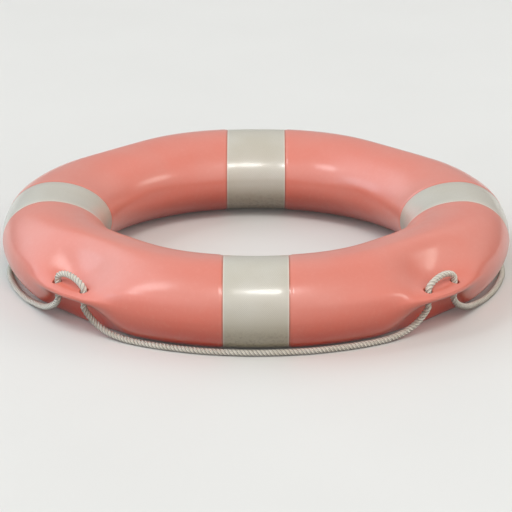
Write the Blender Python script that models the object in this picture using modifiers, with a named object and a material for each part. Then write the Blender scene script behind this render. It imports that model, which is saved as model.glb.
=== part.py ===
"""Life ring: a moulded, foam-filled ring with four reflective bands and a grab line roved through four fins.

Metres, +Z up. The ring lies flat on z = 0 with its axis on Z and its front band towards -Y.
"""
import math

import bmesh
import bpy
from mathutils import Matrix, Vector

# Overall sizes of the moulded ring
RING_OUTER_RADIUS = 0.375
RING_INNER_RADIUS = 0.220
CREST_RADIUS = 0.306
RING_THICKNESS = 0.123
LAND_WIDTH = 0.025
WALL = 0.0035

# Fins: at each, the ring's side is dished above and cut under, which leaves a plate for the line. The dish is
# wide at the crest. Lower down it is a narrower pocket in a shallow skirt. The plate's top rolls down to its lip.
FIN_COUNT = 4
FIN_PROJECTION = 0.008
FIN_TOP_OVER_MIDDLE = 0.0080
FIN_PLATE = 0.0143
DISH_HALF_SPAN = math.radians(32.6)
DISH_POWER = 1.68
SKIRT_POWER = 0.8
POCKET_PART = 0.46
POCKET_START, POCKET_END = math.radians(1.9), math.radians(16)
POCKET_FULL = 0.67
LIP_HALF_SPAN = math.radians(18.5)
LIP_POWER = 1.65
LIP_FROM = 0.45
LIP_ROLL = 0.0217
LIP_DROP = 0.0089
LIP_TURNS = (90, 60, 30, 0, -45)
DISH_CREST_SHIFT = 0.0078
DISH_CREST_HANDLE = 0.0253
DISH_ROOT_FROM_EDGE = 0.0392
DISH_ROOT_HANDLE = (0.0142, 0.0229)
UNDERCUT_HALF_SPAN = math.radians(17.6)
UNDERCUT_POWER = 1.35
UNDERCUT_ROOT_FROM_EDGE = 0.035
UNDERCUT_ROOT_HANDLE = 0.006
UNDERCUT_LAND_HANDLE = 0.017

# Bands, in a shallow recess with sloping shoulders
BAND_WIDTH = 0.090
BAND_THICKNESS = 0.001
RECESS_DEPTH = 0.0015
SHOULDER_WIDTH = 0.007

# Grab line and its holes
ROPE_DIAMETER = 0.0095
HOLE_CLEARANCE = 0.0035
HOLE_PITCH = 0.0565
HOLE_FROM_EDGE = 0.018
HOLE_SIDES = 16
ROPE_STEP = 0.027
BEARING_GAP = 0.0006
SLEEVE_WALL = 0.0013
SLEEVE_RISE_SPAN = 15
BIGHT_BELOW_FIN = 0.003

# Foam filling hole and its plug, under the ring
PLUG_AZIMUTH = math.radians(22)
PLUG_DIAMETER = 0.011
PLUG_HEAD_DIAMETER = 0.017
PLUG_HEAD_THICKNESS = 0.0014
PLUG_SINK = 0.0004

GAP = 0.0003
FOAM_GAP = 0.0006

# Counts of the loft: steps along each stretch of the section, and stations from a band to a fin
DISH_STEPS, SHELF_STEPS, EDGE_STEPS, UNDER_STEPS, LOW_STEPS, INNER_STEPS = 6, 2, 5, 2, 5, 12
SHELF_START, SHELF_END, EDGE_END, UNDER_END = (math.radians(turn) for turn in (23.3, 8.3, -8.7, -40))
SIDE_STATIONS = 9
PARALLEL_END = math.radians(25)
ROUND_SIDES = 24
SLEEVE_SIDES = 20
ROUTE_FINE_STEPS = 24

# What follows from them
MIDDLE_Z = RING_THICKNESS / 2
OUTER_HALF_WIDTH = RING_OUTER_RADIUS - CREST_RADIUS
INNER_HALF_WIDTH = CREST_RADIUS - RING_INNER_RADIUS
FIN_AZIMUTH = math.pi / FIN_COUNT
FIN_EDGE_RADIUS = RING_OUTER_RADIUS + FIN_PROJECTION
DISH_ROOT_RADIUS = FIN_EDGE_RADIUS - DISH_ROOT_FROM_EDGE
UNDERCUT_ROOT_RADIUS = FIN_EDGE_RADIUS - UNDERCUT_ROOT_FROM_EDGE
FIN_TOP_Z = MIDDLE_Z + FIN_TOP_OVER_MIDDLE
FIN_UNDER_Z = FIN_TOP_Z - FIN_PLATE
HOLE_RADIAL = FIN_EDGE_RADIUS - HOLE_FROM_EDGE
HOLE_DIAMETER = ROPE_DIAMETER + HOLE_CLEARANCE
ROPE_RADIUS = ROPE_DIAMETER / 2
ROPE_LEAN = HOLE_DIAMETER / 2 * math.cos(math.pi / HOLE_SIDES) - ROPE_RADIUS - BEARING_GAP
ROPE_OFFSET = HOLE_PITCH / 2 - ROPE_LEAN
BIGHT_END_Z = FIN_UNDER_Z - BIGHT_BELOW_FIN
PIVOT_Z = BIGHT_END_Z - GAP - ROPE_RADIUS
FLOOR_Z = ROPE_RADIUS + GAP

# Round end of a stretch of line, from its tip: height and radius, as shares of the rope's radius
ROPE_DOME = ((0.97, 0.25), (0.80, 0.60), (0.45, 0.893), (0.0, 1.0))

# Route of a bight over a fin: along the fin, as a share of half the distance between the line's two
# passes, and height over the plate. It stands taller at its first end, which is the one by a side band.
BIGHT_ROUTE = ((-1.0, -0.0073), (-1.0, 0.0011), (-0.92, 0.0078), (-0.60, 0.0126), (-0.20, 0.0142),
               (0.25, 0.0127), (0.65, 0.0088), (0.93, 0.0036), (1.0, -0.0013), (1.0, -0.0083))

# Route of half a stretch of line, from a hole to the middle: degrees from the middle, radius, height. It
# drops to the floor and lies there. The front one is drawn tight; the others carry the slack.
TIGHT_ROUTE = ((40.2, 0.3605, 0.0310), (38.9, 0.3550, 0.0195), (36.6, 0.3525, 0.0115),
               (33.5, 0.3520, 0.0070), (29.0, 0.3520, FLOOR_Z), (22.0, 0.3520, FLOOR_Z),
               (14.0, 0.3520, FLOOR_Z), (7.0, 0.3515, FLOOR_Z))
SLACK_ROUTE = ((39.4, 0.3645, 0.0330), (37.0, 0.3625, 0.0240), (33.0, 0.3585, 0.0140),
               (28.0, 0.3565, 0.0080), (22.5, 0.3585, FLOOR_Z), (16.5, 0.3612, FLOOR_Z),
               (11.0, 0.3630, FLOOR_Z), (5.5, 0.3650, FLOOR_Z))


def clear_scene():
    for item in list(bpy.data.objects):
        bpy.data.objects.remove(item, do_unlink=True)


def make_collection(name):
    collection = bpy.data.collections.new(name)
    bpy.context.scene.collection.children.link(collection)
    return collection


def make_material(name, colour, roughness, metallic=0.0):
    material = bpy.data.materials.new(name)
    material.use_nodes = True
    shader = material.node_tree.nodes["Principled BSDF"]
    shader.inputs["Base Color"].default_value = (*colour, 1.0)
    shader.inputs["Roughness"].default_value = roughness
    shader.inputs["Metallic"].default_value = metallic
    return material


def blend(a, b, share):
    return a + (b - a) * share


def bezier(p0, p1, p2, p3, steps):
    """Points of a cubic curve and its directions, from p0 up to but without p3."""
    for i in range(steps):
        t = i / steps
        u = 1 - t
        point = u**3 * p0 + 3 * u * u * t * p1 + 3 * u * t * t * p2 + t**3 * p3
        along = u * u * (p1 - p0) + 2 * u * t * (p2 - p1) + t * t * (p3 - p2)
        yield point, along.normalized()


def pushed_in(point, along, inset):
    """The point moved into the material, which lies to the right of a curve that runs clockwise."""
    return point + Vector((along.y, -along.x)) * inset


def angles(start, end, steps):
    return [blend(start, end, i / steps) for i in range(steps)]


def ellipse_point(half_width, half_height, turn):
    """A point on a half ellipse that is stretched downwards, so that it ends at the land's edge."""
    land_sine = math.sin(math.acos(LAND_WIDTH / 2 / half_width))
    stretch = blend(1.0, 1 / land_sine, max(0.0, -math.sin(turn)) / land_sine)
    return Vector((half_width * math.cos(turn), half_height * stretch * math.sin(turn)))


def plain_section(inset):
    """Two half ellipses that meet at the crest, with a flat land below: offsets from the crest radius."""
    half_height = MIDDLE_Z - inset
    outer = OUTER_HALF_WIDTH - inset
    inner = INNER_HALF_WIDTH - inset
    outer_land = -math.acos(LAND_WIDTH / 2 / outer)
    inner_land = math.acos(LAND_WIDTH / 2 / inner) - math.pi
    outer_turns = (angles(math.pi / 2, SHELF_START, DISH_STEPS) + angles(SHELF_START, SHELF_END, SHELF_STEPS)
                   + angles(SHELF_END, EDGE_END, EDGE_STEPS) + angles(EDGE_END, UNDER_END, UNDER_STEPS)
                   + angles(UNDER_END, outer_land, LOW_STEPS) + [outer_land])
    points = [ellipse_point(outer, half_height, turn) for turn in outer_turns]
    for turn in angles(inner_land, -1.5 * math.pi, INNER_STEPS):
        points.append(ellipse_point(inner, half_height, turn))
    return points


def fin_section(inset, hollow):
    """The section through a fin. Its cavity stops at the plate's root, so the plate stays solid."""
    crest = Vector((-DISH_CREST_SHIFT, MIDDLE_Z))
    root = Vector((DISH_ROOT_RADIUS - CREST_RADIUS, FIN_TOP_OVER_MIDDLE))
    handle = Vector((-DISH_ROOT_HANDLE[0], DISH_ROOT_HANDLE[1]))
    under_height = FIN_TOP_OVER_MIDDLE - FIN_PLATE
    under_root = Vector((UNDERCUT_ROOT_RADIUS - CREST_RADIUS, under_height))
    land_end = Vector((LAND_WIDTH / 2, -MIDDLE_Z))
    dish = (crest, crest + Vector((DISH_CREST_HANDLE, 0)), root + handle, root)
    low = (under_root, under_root - Vector((UNDERCUT_ROOT_HANDLE, UNDERCUT_ROOT_HANDLE)),
           land_end + Vector((UNDERCUT_LAND_HANDLE, 0)), land_end)
    points = [pushed_in(p, along, inset) for p, along in bezier(*dish, DISH_STEPS)]
    plate_steps = SHELF_STEPS + EDGE_STEPS + UNDER_STEPS
    if hollow:
        top = pushed_in(root, (root - dish[2]).normalized(), inset)
        bottom = pushed_in(under_root, (low[1] - low[0]).normalized(), inset)
        points += [top.lerp(bottom, i / plate_steps) for i in range(plate_steps)]
    else:
        tip = Vector((FIN_EDGE_RADIUS - CREST_RADIUS, FIN_TOP_OVER_MIDDLE - LIP_DROP))
        top_end = tip + Vector((-LIP_ROLL, LIP_DROP))
        points += [root.lerp(top_end, i / SHELF_STEPS) for i in range(SHELF_STEPS)]
        under_radius = FIN_PLATE - LIP_DROP
        for turn in map(math.radians, LIP_TURNS):
            width, height = (LIP_ROLL, LIP_DROP) if turn > 0 else (under_radius, under_radius)
            points.append(tip + Vector((width * (math.cos(turn) - 1), height * math.sin(turn))))
        under_end = tip - Vector((under_radius, under_radius))
        points += [under_end.lerp(under_root, i / UNDER_STEPS) for i in range(UNDER_STEPS)]
    points += [pushed_in(p, along, inset) for p, along in bezier(*low, LOW_STEPS)]
    plain = plain_section(inset)
    for point in plain[len(points):]:
        rise = max(0.0, point.y) / (MIDDLE_Z - inset)
        points.append(point - Vector((DISH_CREST_SHIFT * rise, 0)))
    return points


def bump(distance, half_span, power):
    share = min(1.0, abs(distance) / half_span)
    return (0.5 + 0.5 * math.cos(math.pi * share)) ** power


def smooth_step(value, low, high):
    share = min(1.0, max(0.0, (value - low) / (high - low)))
    return share * share * (3 - 2 * share)


def dish_share(from_fin, step):
    """How far the upper side is morphed: widely at the crest, in a narrower pocket lower down, then as the lip."""
    wide = bump(from_fin, DISH_HALF_SPAN, DISH_POWER)
    skirt = bump(from_fin, DISH_HALF_SPAN, SKIRT_POWER)
    pocket = 1 - smooth_step(abs(from_fin), POCKET_START, POCKET_END)
    share = blend(wide, blend(skirt, pocket, POCKET_PART), smooth_step(step / DISH_STEPS, 0, POCKET_FULL))
    lip = bump(from_fin, LIP_HALF_SPAN, LIP_POWER)
    return blend(share, lip, smooth_step(step, LIP_FROM * DISH_STEPS, DISH_STEPS + SHELF_STEPS))


def section_at(azimuth, inset, hollow=False):
    """The section at an azimuth from a band's middle, and how far it is morphed into the fin's."""
    from_fin = FIN_AZIMUTH - abs(azimuth)
    dish = bump(from_fin, DISH_HALF_SPAN, DISH_POWER)
    lip = bump(from_fin, LIP_HALF_SPAN, LIP_POWER)
    undercut = bump(from_fin, UNDERCUT_HALF_SPAN, UNDERCUT_POWER)
    upper = DISH_STEPS + SHELF_STEPS
    lower = upper + EDGE_STEPS
    bottom = lower + UNDER_STEPS + LOW_STEPS + 1
    points = []
    for i, (plain, fin) in enumerate(zip(plain_section(inset), fin_section(inset, hollow))):
        if i <= upper:
            share = dish_share(from_fin, i)
        elif i < lower:
            share = blend(lip, undercut, (i - upper) / EDGE_STEPS)
        elif i <= bottom:
            share = undercut
        else:
            share = blend(undercut, dish, (i - bottom) / (INNER_STEPS + 1))
        points.append(plain.lerp(fin, share))
    return points


def ring_point(offset, azimuth, band_direction):
    """A section point in space. The sections are parallel near a band and radial near a fin."""
    radial = CREST_RADIUS + offset.x
    parallel = 1 - min(1.0, max(0.0, (abs(azimuth) - band_station()) / (PARALLEL_END - band_station())))
    across = CREST_RADIUS * math.sin(azimuth)
    turned = blend(azimuth, math.asin(across / radial), parallel)
    angle = band_direction + turned
    return Vector((radial * math.sin(angle), -radial * math.cos(angle), MIDDLE_Z + offset.y))


def band_station():
    """Azimuth of the station where the shoulder beside a band ends."""
    return math.asin((BAND_WIDTH / 2 + GAP + SHOULDER_WIDTH) / CREST_RADIUS)


def stations(with_recess):
    """Azimuths from one fin to the next round a band, each with the recess's depth there."""
    recess_edge = math.asin((BAND_WIDTH / 2 + GAP) / CREST_RADIUS)
    side = [(blend(band_station(), FIN_AZIMUTH, i / SIDE_STATIONS), 0.0) for i in range(SIDE_STATIONS)]
    half = [(recess_edge, RECESS_DEPTH)] + side if with_recess else side[::2]
    middle = [(0.0, RECESS_DEPTH if with_recess else 0.0)]
    return [(-FIN_AZIMUTH, 0.0)] + [(-a, d) for a, d in reversed(half)] + middle + half


def loft(name, rings, collection, material):
    """A closed body through rings of points, which close on themselves and on each other."""
    mesh = bmesh.new()
    rows = [[mesh.verts.new(point) for point in ring] for ring in rings]
    for i, row in enumerate(rows):
        following = rows[(i + 1) % len(rows)]
        for j, corner in enumerate(row):
            k = (j + 1) % len(row)
            mesh.faces.new((corner, row[k], following[k]))
            mesh.faces.new((corner, following[k], following[j]))
    bmesh.ops.recalc_face_normals(mesh, faces=mesh.faces)
    return finish_mesh(name, mesh, collection, material)


def finish_mesh(name, mesh, collection, material):
    data = bpy.data.meshes.new(name)
    mesh.to_mesh(data)
    mesh.free()
    data.shade_smooth()
    data.set_sharp_from_angle(angle=math.radians(35))
    item = bpy.data.objects.new(name, data)
    collection.objects.link(item)
    if material:
        data.materials.append(material)
    return item


def ring_loft(name, collection, material, inset=0.0, hollow=False, with_recess=False):
    rings = []
    for quarter in range(FIN_COUNT):
        direction = quarter * 2 * FIN_AZIMUTH
        for azimuth, depth in stations(with_recess):
            section = section_at(azimuth, inset + depth, hollow)[::2 if hollow else 1]
            rings.append([ring_point(offset, azimuth, direction) for offset in section])
    return loft(name, rings, collection, material)


def make_cylinder(name, radius, low, high, place, collection, sides=ROUND_SIDES):
    """An upright round bar between two heights at a place in plan."""
    mesh = bmesh.new()
    matrix = Matrix.Translation((place.x, place.y, (low + high) / 2))
    bmesh.ops.create_cone(mesh, cap_ends=True, segments=sides, radius1=radius, radius2=radius,
                          depth=high - low, matrix=matrix)
    return finish_mesh(name, mesh, collection, None)


def as_cutter(item):
    item.hide_render = True
    item.display_type = "WIRE"
    return item


def cut_away(item, other):
    cut = item.modifiers.new(other.name, "BOOLEAN")
    cut.operation = "DIFFERENCE"
    cut.solver = "EXACT"
    cut.object = other


def make_shell(parts, cutters, material):
    shell = ring_loft("outer_shell", parts, material, with_recess=True)
    cavity = as_cutter(ring_loft("cavity", cutters, None, inset=WALL, hollow=True))
    cut_away(shell, cavity)
    for fin in range(FIN_COUNT):
        for side in (-1, 1):
            place = fin_frame(fin) @ Vector((side * HOLE_PITCH / 2, HOLE_RADIAL, 0))
            low, high = FIN_UNDER_Z - 2 * FIN_PLATE, FIN_TOP_Z + 2 * FIN_PLATE
            hole = make_cylinder(f"rope_hole_{fin}_{side}", HOLE_DIAMETER / 2, low, high, place, cutters,
                                 sides=HOLE_SIDES)
            cut_away(shell, as_cutter(hole))
    place = plug_place()
    seat_z = PLUG_SINK + PLUG_HEAD_THICKNESS + GAP
    head = make_cylinder("plug_seat", PLUG_HEAD_DIAMETER / 2 + GAP, -WALL, seat_z, place, cutters)
    bore = make_cylinder("plug_bore", PLUG_DIAMETER / 2 + GAP, -WALL, 2 * WALL, place, cutters)
    cut_away(shell, as_cutter(head))
    cut_away(shell, as_cutter(bore))
    return shell


def plug_place():
    return Vector((CREST_RADIUS * math.sin(PLUG_AZIMUTH), CREST_RADIUS * math.cos(PLUG_AZIMUTH), 0))


def make_plug(parts, material):
    """A round plug whose head seats in the shell's underside, turned as one profile."""
    head_z = PLUG_SINK
    seat_z = head_z + PLUG_HEAD_THICKNESS
    profile = ((0, head_z), (PLUG_HEAD_DIAMETER / 2, head_z), (PLUG_HEAD_DIAMETER / 2, seat_z),
               (PLUG_DIAMETER / 2, seat_z), (PLUG_DIAMETER / 2, WALL), (0, WALL))
    mesh = bmesh.new()
    corners = [mesh.verts.new((x, 0, z)) for x, z in profile]
    for a, b in zip(corners, corners[1:]):
        mesh.edges.new((a, b))
    plug = finish_mesh("fill_plug", mesh, parts, material)
    plug.location = plug_place()
    turn = plug.modifiers.new("turn", "SCREW")
    turn.steps = turn.render_steps = ROUND_SIDES
    turn.use_merge_vertices = True
    turn.merge_threshold = 0.00005
    turn.use_normal_flip = True
    return plug


def make_band(name, direction, parts, material):
    """A closed strap round the ring's section, lying in the shell's recess."""
    half = math.asin(BAND_WIDTH / 2 / CREST_RADIUS)
    inner = RECESS_DEPTH - GAP
    outer = inner - BAND_THICKNESS
    skins = []
    for inset in (outer, inner):
        for azimuth in (-half, 0.0, half)[::1 if inset == outer else -1]:
            section = section_at(azimuth, inset)
            skins.append([ring_point(offset, azimuth, direction) for offset in section])
    return loft(name, skins, parts, material)


def fin_frame(fin):
    """Places (along the fin to the left as seen from outside is -X, outward is +Y) at a fin's middle."""
    azimuth = FIN_AZIMUTH * (2 * fin + 1)
    outward = Vector((math.sin(azimuth), -math.cos(azimuth), 0))
    along = Vector((math.cos(azimuth), math.sin(azimuth), 0))
    return Matrix(((along.x, outward.x, 0), (along.y, outward.y, 0), (0, 0, 1)))


def smooth_route(points, spacing):
    """Points at equal steps on a smooth curve through the route's own points."""
    points = [2 * points[0] - points[1]] + points + [2 * points[-1] - points[-2]]
    fine = []
    for p0, p1, p2, p3 in zip(points, points[1:], points[2:], points[3:]):
        for i in range(ROUTE_FINE_STEPS):
            t = i / ROUTE_FINE_STEPS
            fine.append(0.5 * (2 * p1 + (p2 - p0) * t + (2 * p0 - 5 * p1 + 4 * p2 - p3) * t * t
                               + (3 * p1 - 3 * p2 + p3 - p0) * t**3))
    fine.append(points[-2])
    lengths = [0.0]
    for a, b in zip(fine, fine[1:]):
        lengths.append(lengths[-1] + (b - a).length)
    count = 2 * max(1, round(lengths[-1] / spacing / 2))
    route = []
    k = 0
    for i in range(count + 1):
        wanted = lengths[-1] * i / count
        while k < len(lengths) - 2 and lengths[k + 1] < wanted:
            k += 1
        share = (wanted - lengths[k]) / (lengths[k + 1] - lengths[k])
        route.append(fine[k].lerp(fine[k + 1], share))
    return route, lengths[-1]


def make_rope(name, route, radii, origin, parts, material):
    data = bpy.data.curves.new(name, "CURVE")
    data.dimensions = "3D"
    data.bevel_depth = ROPE_RADIUS
    data.bevel_resolution = 2
    data.use_fill_caps = True
    spline = data.splines.new("POLY")
    spline.points.add(len(route) - 1)
    for point, place, radius in zip(spline.points, route, radii):
        point.co = (*(place - origin), 1)
        point.radius = radius
    data.materials.append(material)
    rope = bpy.data.objects.new(name, data)
    rope.location = origin
    parts.objects.link(rope)
    return rope


def make_bight(name, fin, parts, material):
    """The line's stretch up through one hole of a fin, over and down through the other."""
    frame = fin_frame(fin)
    reach = -ROPE_OFFSET if fin in (0, 2) else ROPE_OFFSET
    heights = [(-1, BIGHT_END_Z)] + [(x, FIN_TOP_Z + z) for x, z in BIGHT_ROUTE] + [(1, BIGHT_END_Z)]
    route = [frame @ Vector((x * reach, HOLE_RADIAL, z)) for x, z in heights]
    points, length = smooth_route(route, ROPE_DIAMETER)
    make_rope(name, points, [1.0] * len(points), Vector((0, 0, 0)), parts, material)
    return length


def pivot_ends(direction):
    """The two ends of a stretch of line, under the holes beside a band, in the world."""
    offset = Vector((HOLE_RADIAL * math.sin(FIN_AZIMUTH) - ROPE_OFFSET * math.cos(FIN_AZIMUTH),
                     -HOLE_RADIAL * math.cos(FIN_AZIMUTH) - ROPE_OFFSET * math.sin(FIN_AZIMUTH), PIVOT_Z))
    turn = Matrix.Rotation(direction, 3, "Z")
    return turn @ Vector((-offset.x, offset.y, offset.z)), turn @ offset


def stretch_route(direction, half_route, raised):
    """Points of the line between two fins, and its length. Where a sleeve is on it, the middle is raised."""
    left, right = pivot_ends(direction)
    below = Vector((0, 0, -ROPE_RADIUS))
    half = []
    for degrees, radius, height in half_route:
        azimuth = math.radians(degrees)
        height = max(height, raised) if degrees < SLEEVE_RISE_SPAN else height
        half.append(Vector((-radius * math.sin(azimuth), -radius * math.cos(azimuth), height)))
    middle = Vector((0, -half_route[-1][1], half[-1].z))
    mirrored = [Vector((-p.x, p.y, p.z)) for p in reversed(half)]
    turn = Matrix.Rotation(direction, 3, "Z")
    whole = [turn @ p for p in half + [middle] + mirrored]
    return smooth_route([left + below, *whole, right + below], ROPE_STEP)


def make_stretch(name, direction, half_route, raised, parts, material):
    """A stretch of line between two fins, whose round ends turn on the axis through both."""
    left, right = pivot_ends(direction)
    points, length = stretch_route(direction, half_route, raised)
    start = [left + Vector((0, 0, ROPE_RADIUS * up)) for up, _ in ROPE_DOME]
    end = [right + Vector((0, 0, ROPE_RADIUS * up)) for up, _ in reversed(ROPE_DOME)]
    dome_radii = [radius for _, radius in ROPE_DOME]
    radii = dome_radii + [1.0] * len(points) + dome_radii[::-1]
    make_rope(name, start + points + end, radii, (left + right) / 2, parts, material)
    return length + 2 * ROPE_RADIUS


def make_sleeve(name, direction, half_route, raised, parts, material):
    """A tube shrunk over the splice that joins the line's ends, along the line's two middle steps."""
    origin = sum(pivot_ends(direction), Vector((0, 0, 0))) / 2
    inner, outer = ROPE_RADIUS + GAP, ROPE_RADIUS + GAP + SLEEVE_WALL
    points, _ = stretch_route(direction, half_route, raised)
    middle = len(points) // 2
    frames = []
    for before, here, after in zip(points[middle - 2:], points[middle - 1:middle + 2], points[middle:]):
        along = ((here - before).normalized() + (after - here).normalized()).normalized()
        side = along.cross(Vector((0, 0, 1))).normalized()
        frames.append((here - origin, side, side.cross(along)))
    stations = [(frame, outer) for frame in frames] + [(frame, inner) for frame in reversed(frames)]
    rings = []
    for i in range(SLEEVE_SIDES):
        angle = 2 * math.pi * i / SLEEVE_SIDES
        rings.append([place + radius * (side * math.cos(angle) + up * math.sin(angle))
                      for (place, side, up), radius in stations])
    sleeve = loft(name, rings, parts, material)
    sleeve.location = origin
    return sleeve


def main():
    clear_scene()
    parts = make_collection("life_ring")
    cutters = make_collection("cutters")
    shell_plastic = make_material("coral_polyethylene", (0.80, 0.16, 0.10), 0.28)
    foam = make_material("foam", (0.85, 0.74, 0.45), 0.9)
    band_film = make_material("reflective_film", (0.62, 0.58, 0.50), 0.35)
    line = make_material("white_line", (0.60, 0.57, 0.48), 0.85)
    sleeve_plastic = make_material("shrink_sleeve", (0.78, 0.76, 0.70), 0.4)

    make_shell(parts, cutters, shell_plastic)
    ring_loft("foam_core", parts, foam, inset=WALL + FOAM_GAP, hollow=True)
    make_plug(parts, shell_plastic)
    for i, side in enumerate(("front", "right", "back", "left")):
        make_band(f"band_{side}", i * math.pi / 2, parts, band_film)

    total = 0.0
    for fin, corner in enumerate(("front_right", "back_right", "back_left", "front_left")):
        total += make_bight(f"rope_bight_{corner}", fin, parts, line)
    sleeve_height = ROPE_RADIUS + 2 * GAP + SLEEVE_WALL
    for i, (side, half_route) in enumerate((("front", TIGHT_ROUTE), ("right", SLACK_ROUTE),
                                            ("back", SLACK_ROUTE), ("left", SLACK_ROUTE))):
        raised = sleeve_height if side == "back" else 0.0
        total += make_stretch(f"grab_line_{side}", i * math.pi / 2, half_route, raised, parts, line)
    make_sleeve("splice_sleeve", math.pi, SLACK_ROUTE, sleeve_height, parts, sleeve_plastic)
    print(f"grab line, end to end: {total:.3f} m")


main()
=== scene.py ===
"""Life ring on a pale floor: a coral ring with four pale bands and a white line roved through its fins."""
import math

import bmesh
import bpy
from mathutils import Matrix, Vector


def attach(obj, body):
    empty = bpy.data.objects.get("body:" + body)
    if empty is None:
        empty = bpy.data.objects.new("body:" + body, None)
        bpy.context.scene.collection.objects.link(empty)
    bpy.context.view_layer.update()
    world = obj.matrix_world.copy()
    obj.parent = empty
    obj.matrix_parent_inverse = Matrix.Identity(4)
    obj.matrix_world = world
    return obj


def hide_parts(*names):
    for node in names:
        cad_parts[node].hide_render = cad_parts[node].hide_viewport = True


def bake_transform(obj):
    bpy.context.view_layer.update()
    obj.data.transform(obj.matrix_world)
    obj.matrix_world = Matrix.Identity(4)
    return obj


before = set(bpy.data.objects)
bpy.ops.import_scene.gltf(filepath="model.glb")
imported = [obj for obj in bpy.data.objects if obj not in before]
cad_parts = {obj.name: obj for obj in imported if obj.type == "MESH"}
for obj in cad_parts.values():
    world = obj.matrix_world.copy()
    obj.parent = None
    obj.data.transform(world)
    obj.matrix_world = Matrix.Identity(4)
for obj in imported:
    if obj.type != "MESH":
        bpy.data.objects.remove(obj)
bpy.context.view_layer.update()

# Ring section, as offsets from the crest circle
CREST_RADIUS = 0.306
OUTER_HALF_WIDTH = 0.069
INNER_HALF_WIDTH = 0.086
RING_THICKNESS = 0.123
LAND_WIDTH = 0.025
MIDDLE_Z = RING_THICKNESS / 2

# Fins: the dish above each, the plate that the line passes through, and the undercut below
FIN_COUNT = 4
FIN_AZIMUTH = math.pi / FIN_COUNT
FIN_EDGE = 0.077
FIN_TOP = 0.0080
FIN_PLATE = 0.0143
DISH_HALF_SPAN = math.radians(32.6)
DISH_POWER = 1.68
SKIRT_POWER = 0.8
POCKET_PART = 0.46
POCKET_START, POCKET_END = math.radians(1.9), math.radians(16)
POCKET_FULL = 0.67
LIP_HALF_SPAN = math.radians(18.5)
LIP_POWER = 1.65
LIP_FROM = 0.45
LIP_ROLL = 0.0217
LIP_DROP = 0.0089
DISH_CREST_SHIFT = 0.0078
DISH_CREST_HANDLE = 0.0253
DISH_ROOT = 0.0378
DISH_ROOT_HANDLE = (0.0142, 0.0229)
UNDERCUT_HALF_SPAN = math.radians(17.6)
UNDERCUT_POWER = 1.35
UNDERCUT_ROOT = 0.042
UNDERCUT_ROOT_HANDLE = 0.006
UNDERCUT_LAND_HANDLE = 0.017
FIN_TOP_Z = MIDDLE_Z + FIN_TOP
FIN_UNDER_Z = FIN_TOP_Z - FIN_PLATE

# Steps of the section, clockwise from the crest, and where each stretch ends on the plain section
DISH_STEPS, SHELF_STEPS, EDGE_STEPS = 20, 8, 12
UNDER_STEPS, LOW_STEPS, LAND_STEPS, INNER_STEPS = 6, 14, 3, 32
SHELF_START, SHELF_END, EDGE_END, UNDER_END = (math.radians(turn) for turn in (23.3, 8.3, -8.7, -40))

# Roundings of the fin's inner corners, in steps before and after each
ROOT_FILLET_STEPS = (7, 5)
UNDER_FILLET_STEPS = (2, 2)
# Steps whose creases are eased, where the fins run out
EASED_STEPS = (12, 33)
EASED_PART = 0.75
EASING_PASSES = 8

# Bands in their recesses
BAND_WIDTH = 0.090
BAND_SINK = 0.0006
BAND_THICKNESS = 0.0004
BAND_EDGE_RADIUS = 0.0003
# The rounded edge: shares of its radius inwards and of the film's thickness down
BAND_EDGE = ((0.0, 0.5), (0.3, 0.15), (1.0, 0.0))
RECESS_DEPTH = 0.0012
SHOULDER_DEPTH = 0.0008
SHOULDER_WIDTH = 0.0062
BAND_CLEARANCE = 0.0003
CELL_PITCH = 0.0028
# How far in from the film's edges its lighter edge line, partly the seal and partly painted highlight,
# starts and is whole
EDGE_LINE_WIDTHS = (0.0022, 0.0012)
# Width of the painted shade line in the recess corner beside each band
CORNER_SHADE_WIDTH = 0.0024
PARALLEL_END = math.radians(25)
# A torus has at most 256 turns, so each quarter has 64: its middle and end, and on both sides of the middle
# the band, its shoulder and the plain side
BAND_STEPS, SHOULDER_STEPS, SIDE_STEPS = 3, 8, 20

# Plug in the flat underside, right of the back band
PLUG_AZIMUTH = math.radians(22)
PLUG_HEAD_RADIUS = 0.0085
PLUG_STEM_RADIUS = 0.0055
PLUG_GAP = 0.0003
PLUG_SEAT_Z = 0.0021
PLUG_TOP_Z = 0.0035
PLUG_SIDES = 64
# Widening past the rim, and height
SEAT_LEAD_IN = ((0.0010, -0.0010), (0.0003, -0.0001), (0.0, 0.0004))
# Distance in from the rim of the head or the stem, and height
PLUG_HEAD = ((0.0030, 0.0009), (0.0026, 0.0007), (0.0022, 0.0005), (0.0016, 0.0004), (0.0006, 0.0004),
             (0.0002, 0.0005), (0.0, 0.0008), (0.0, 0.0018))
PLUG_STEM = ((0.0, 0.0018), (0.0, 0.0031), (0.0004, PLUG_TOP_Z))

# Line, its holes and its four lobes
ROPE_DIAMETER = 0.0095
ROPE_RADIUS = ROPE_DIAMETER / 2
HOLE_RADIUS = 0.0065
HOLE_PITCH = 0.0565
HOLE_RADIAL = 0.365
HOLE_FLARE = 0.0014
HOLE_SIDES = 48
FLARE_STEPS = 5
ROPE_LEAN = 0.00103
ROPE_OFFSET = HOLE_PITCH / 2 - ROPE_LEAN
STRANDS = 4
STRAND_RADIUS = 0.46
LAY_LENGTH = 0.022
ROPE_RING_STEP = 0.0012
ROPE_SIDES = 40
ROPE_SMOOTH_ANGLE = 60
YARNS_PER_STRAND = 7
YARN_TURNS_PER_METRE = 260
ROUTE_CURVE_STEPS = 24
JOIN_Z = 0.0605
PIVOT_Z = 0.04715
FLOOR_GAP = 0.0003
FLOOR_Z = ROPE_RADIUS + FLOOR_GAP
SLEEVE_WALL = 0.0013
SLEEVE_END_WALL = 0.0003
SLEEVE_HALF_LENGTH = 0.026
SLEEVE_BLUNT_END = 0.0006
SLEEVE_DRAWN_IN = 0.0035
SLEEVE_RIPPLE = 0.00012
SLEEVE_Z = ROPE_RADIUS + 2 * FLOOR_GAP + SLEEVE_WALL
SLEEVE_RISE_SPAN = 15

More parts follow.
